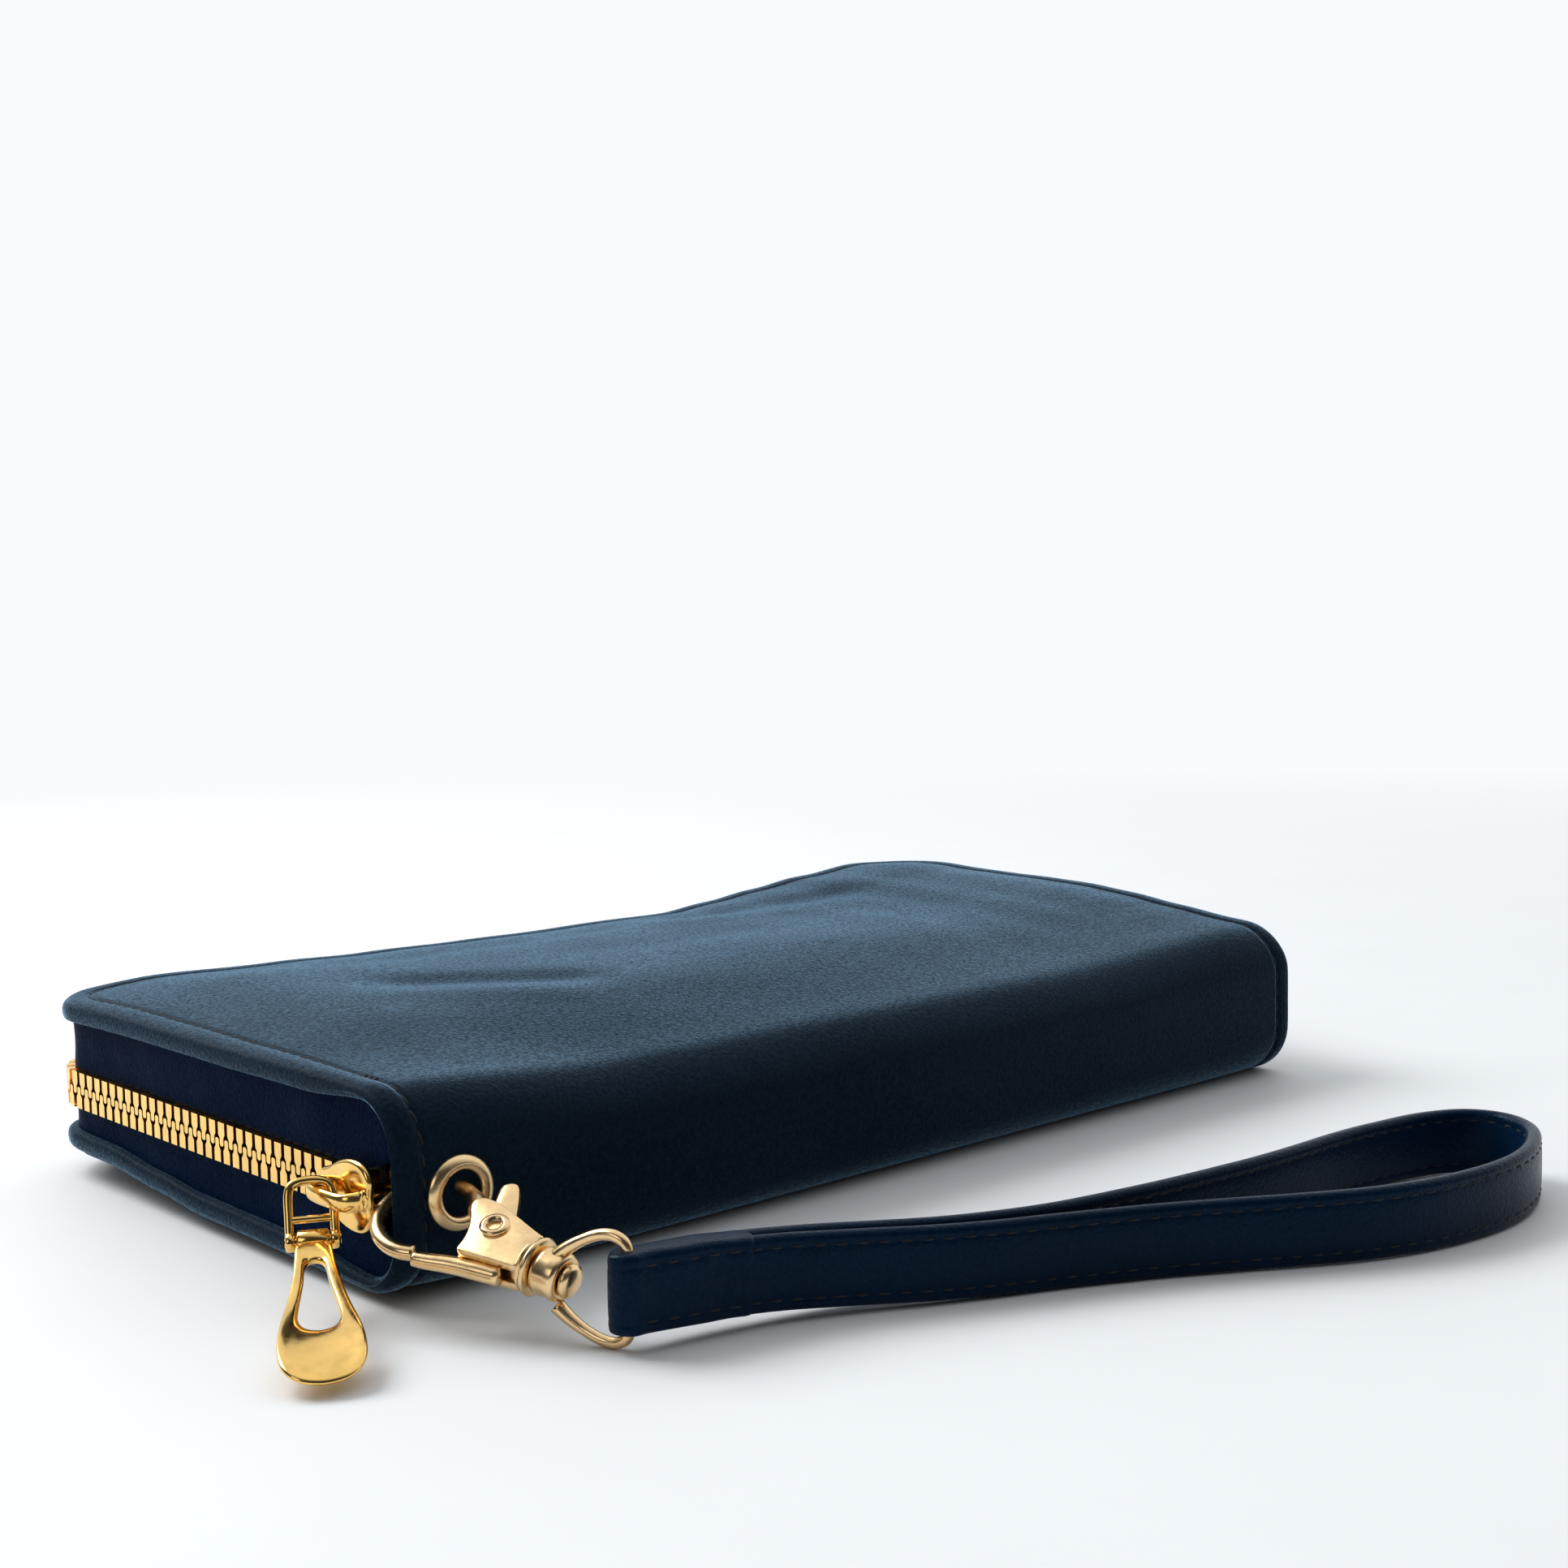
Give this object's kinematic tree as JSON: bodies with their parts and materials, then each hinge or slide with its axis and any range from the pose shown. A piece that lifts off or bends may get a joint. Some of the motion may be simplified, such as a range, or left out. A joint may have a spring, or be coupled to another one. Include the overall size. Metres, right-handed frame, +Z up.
{
  "type": "wristlet wallet",
  "caption": "Zip-around leather wallet with a wrist strap on a snap hook, a coarse metal zip with a long pull, card pockets and a zipped coin pocket inside.",
  "frame": {"origin": "centre of the flat underside of the back cover", "axes": "+X along the spine towards the end away from the hook, +Y from the spine to the long zip side, +Z up through the thickness"},
  "size_m": [0.2194, 0.1895, 0.029],
  "materials": {
    "shell_leather": "fine pebble grain, satin",
    "strap_leather": "fine grain, satin",
    "gusset_leather": "fine grain, satin",
    "board": "matt stiffener",
    "lining": "woven lining",
    "zip_tape": "woven tape",
    "zip_metal": "polished pale gold plate",
    "hook_metal": "satin pale gold plate",
    "spring": "bright spring steel"
  },
  "bodies": {
    "back_half": {"back_cover": "shell_leather", "back_board": "board", "back_lining": "lining", "back_gusset": "gusset_leather", "back_zip_tape": "zip_tape", "back_zip_teeth": "zip_metal", "back_top_stop": "zip_metal", "back_end_stop": "zip_metal", "spine_lining": "lining", "eyelet": "hook_metal", "eyelet_washer": "hook_metal", "back_card_slot_1": "lining", "back_card_slot_2": "lining", "back_card_slot_3": "lining", "back_card_slot_4": "lining"},
    "front_half": {"front_cover": "shell_leather", "front_board": "board", "front_lining": "lining", "front_gusset": "gusset_leather", "front_zip_tape": "zip_tape", "front_zip_teeth": "zip_metal", "front_top_stop": "zip_metal", "front_end_stop": "zip_metal", "front_card_slot_1": "lining", "front_card_slot_2": "lining", "front_card_slot_3": "lining", "front_card_slot_4": "lining"},
    "coin_pocket": {"coin_pocket_back_panel": "lining", "coin_pocket_front_panel": "lining", "coin_pocket_gusset": "lining", "coin_zip_tapes": "zip_tape", "coin_zip_teeth": "zip_metal"},
    "coin_zip_runner": {"coin_slider": "zip_metal"},
    "coin_zip_pull": {"coin_pull": "zip_metal"},
    "zip_runner": {"zip_slider": "zip_metal"},
    "pull_wire": {"pull_link": "zip_metal", "pull_pin": "zip_metal"},
    "pull_spoon": {"pull_tab": "zip_metal"},
    "hook": {"hook_frame": "hook_metal", "hook_rivet": "hook_metal", "gate_spring": "spring"},
    "gate": {"hook_gate": "hook_metal"},
    "ring": {"swivel_ring": "hook_metal"},
    "strap": {"strap_fold": "strap_leather", "strap_band": "strap_leather"}
  },
  "joints": [
    {"name": "cover_open", "type": "hinge", "parent": "back_half", "child": "front_half", "pos_m": [0, -0.0546, 0.0203], "axis": [1, 0, 0], "range_deg": [0, 80]},
    {"name": "coin_pocket_turn", "type": "hinge", "parent": "back_half", "child": "coin_pocket", "pos_m": [0, -0.0546, 0.0203], "axis": [1, 0, 0], "range_deg": [0, 40]},
    {"name": "coin_zip_slide", "type": "slide", "parent": "coin_pocket", "child": "coin_zip_runner", "axis": [1, 0, 0], "range_m": [0, 0.15], "deforming": ["coin_zip_teeth"]},
    {"name": "coin_pull_swing", "type": "hinge", "parent": "coin_zip_runner", "child": "coin_zip_pull", "pos_m": [-0.08, 0.0433, 0.0145], "axis": [0, 0, 1], "range_deg": [0, 33]},
    {"name": "zip_slide", "type": "slide", "parent": "back_half", "child": "zip_runner", "axis": [0, 1, 0], "range_m": [0, 0.078], "deforming": ["back_zip_teeth", "front_zip_teeth"]},
    {"name": "pull_link_lift", "type": "hinge", "parent": "zip_runner", "child": "pull_wire", "pos_m": [-0.10202, -0.0406, 0.0164], "axis": [-0.8863, 0.4631, 0], "range_deg": [0, 15]},
    {"name": "pull_tab_lift", "type": "hinge", "parent": "pull_wire", "child": "pull_spoon", "pos_m": [-0.1037, -0.0438, 0.0093], "axis": [-0.8863, 0.4631, 0], "range_deg": [0, 55]},
    {"name": "hook_swing", "type": "hinge", "parent": "back_half", "child": "hook", "pos_m": [-0.0879, -0.0535, 0.0146], "axis": [-1, 0, 0], "range_deg": [0, 12]},
    {"name": "gate_open", "type": "hinge", "parent": "hook", "child": "gate", "pos_m": [-0.08968, -0.06538, 0.01104], "axis": [0.3501, 0.2935, -0.8895], "range_deg": [0, 14], "stiffness_Nm_per_rad": 0.01},
    {"name": "ring_swivel", "type": "hinge", "parent": "hook", "child": "ring", "pos_m": [-0.08816, -0.0752, 0.0084], "axis": [0.2639, -0.9421, -0.2071], "continuous": true},
    {"name": "strap_swing", "type": "hinge", "parent": "ring", "child": "strap", "pos_m": [-0.08404, -0.08508, 0.0075], "axis": [0, 0, 1], "range_deg": [-70, 18]}
  ],
  "couplings": [
    {"joint": "coin_pocket_turn", "follows": "cover_open", "ratio": 0.5}
  ]
}
